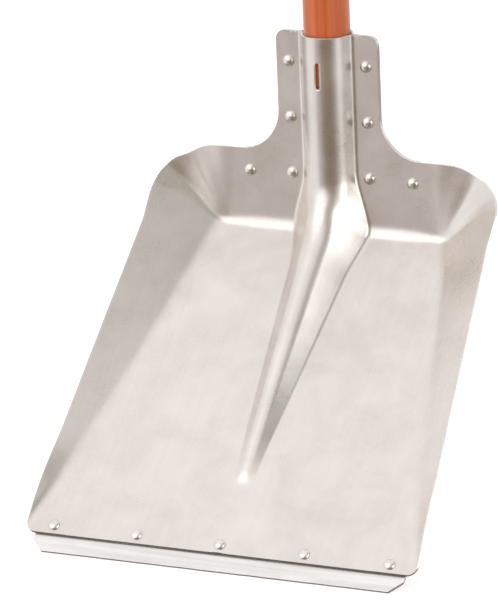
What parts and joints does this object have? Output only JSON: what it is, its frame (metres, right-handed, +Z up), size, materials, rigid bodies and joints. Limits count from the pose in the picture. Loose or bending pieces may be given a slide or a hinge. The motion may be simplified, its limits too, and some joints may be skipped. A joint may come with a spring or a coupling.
{
  "type": "snow shovel",
  "caption": "Snow shovel with a pressed three-sided aluminium pan, riveted rear socket, steel wear strip and straight round wooden shaft.",
  "frame": {"origin": "under the middle of the upright shovel, level with the wear strip's lowest edge", "axes": "+Z up along the shaft, +X across the pan, the pan's hollow side faces -Y"},
  "size_m": [0.342, 0.273, 1.4919],
  "materials": {
    "pan_sheet": "satin",
    "rivet_metal": "satin",
    "strip_steel": "brushed",
    "shaft_wood": "gloss lacquer",
    "screw_steel": "zinc plated"
  },
  "bodies": {
    "root": {"blade": "pan_sheet", "socket_back": "pan_sheet", "wear_strip": "strip_steel", "handle_shaft": "shaft_wood", "handle_screw": "screw_steel", "neck_rivet_left_upper": "rivet_metal", "neck_rivet_left_middle": "rivet_metal", "neck_rivet_left_lower": "rivet_metal", "neck_rivet_left_outer": "rivet_metal", "neck_rivet_right_upper": "rivet_metal", "neck_rivet_right_middle": "rivet_metal", "neck_rivet_right_lower": "rivet_metal", "neck_rivet_right_outer": "rivet_metal", "edge_rivet_1": "rivet_metal", "edge_rivet_2": "rivet_metal", "edge_rivet_3": "rivet_metal", "edge_rivet_4": "rivet_metal", "edge_rivet_5": "rivet_metal"}
  },
  "joints": []
}
